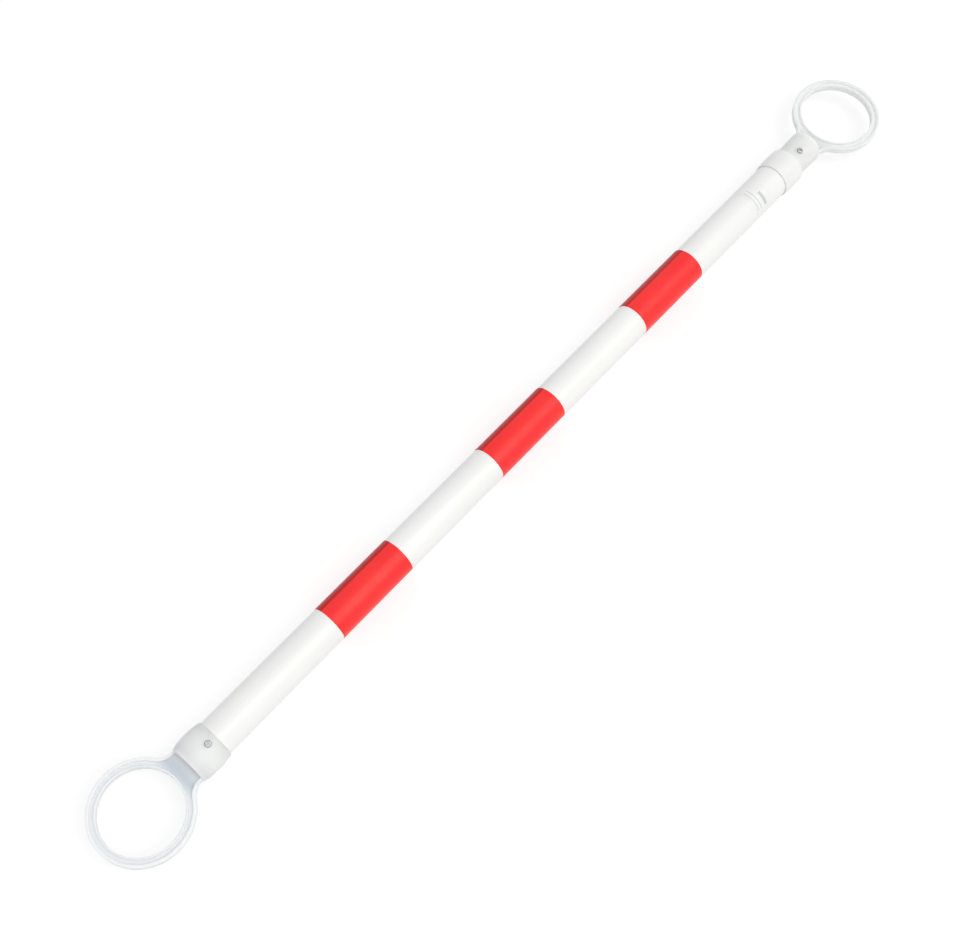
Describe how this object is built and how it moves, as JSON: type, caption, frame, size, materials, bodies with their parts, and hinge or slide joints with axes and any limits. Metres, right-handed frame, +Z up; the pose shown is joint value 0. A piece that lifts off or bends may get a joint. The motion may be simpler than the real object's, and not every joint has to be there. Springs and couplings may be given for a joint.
{
  "type": "cone bar",
  "caption": "Retractable traffic cone bar: a banded outer tube and a sliding inner tube, each ending in a flat ring that drops over a traffic cone.",
  "frame": {"origin": "on the floor under the middle of the closed bar", "axes": "+X along the bar from the outer tube's ring to the inner tube's ring, +Z up, square to both rings"},
  "size_m": [1.202, 0.102, 0.0479],
  "materials": {
    "ring_plastic": "satin moulded polypropylene, natural white and slightly translucent",
    "tube_plastic": "satin extruded white plastic tube",
    "inner_tube_plastic": "satin extruded white plastic tube",
    "collar_plastic": "satin moulded white plastic",
    "red_film": "glossy red reflective film",
    "label_film": "thin pale film, left blank",
    "screw_steel": "zinc plated steel",
    "pin_steel": "plain ground steel",
    "stop_plastic": "moulded acetal",
    "friction_plastic": "black acetal"
  },
  "bodies": {
    "outer": {"near_ring_end": "ring_plastic", "near_end_screw": "screw_steel", "outer_tube": "tube_plastic", "guide_collar": "collar_plastic", "red_band_1": "red_film", "red_band_2": "red_film", "red_band_3": "red_film", "label": "label_film"},
    "carrier": {"friction_ring": "friction_plastic"},
    "inner": {"inner_tube": "inner_tube_plastic", "far_ring_end": "ring_plastic", "far_end_screw": "screw_steel", "slide_stop": "stop_plastic", "stop_pin": "pin_steel"}
  },
  "joints": [
    {"name": "extension", "type": "slide", "parent": "outer", "child": "carrier", "axis": [1, 0, 0], "range_m": [0, 0.88]},
    {"name": "inner_turn", "type": "hinge", "parent": "carrier", "child": "inner", "pos_m": [0, 0, 0.0232], "axis": [1, 0, 0], "continuous": true}
  ]
}
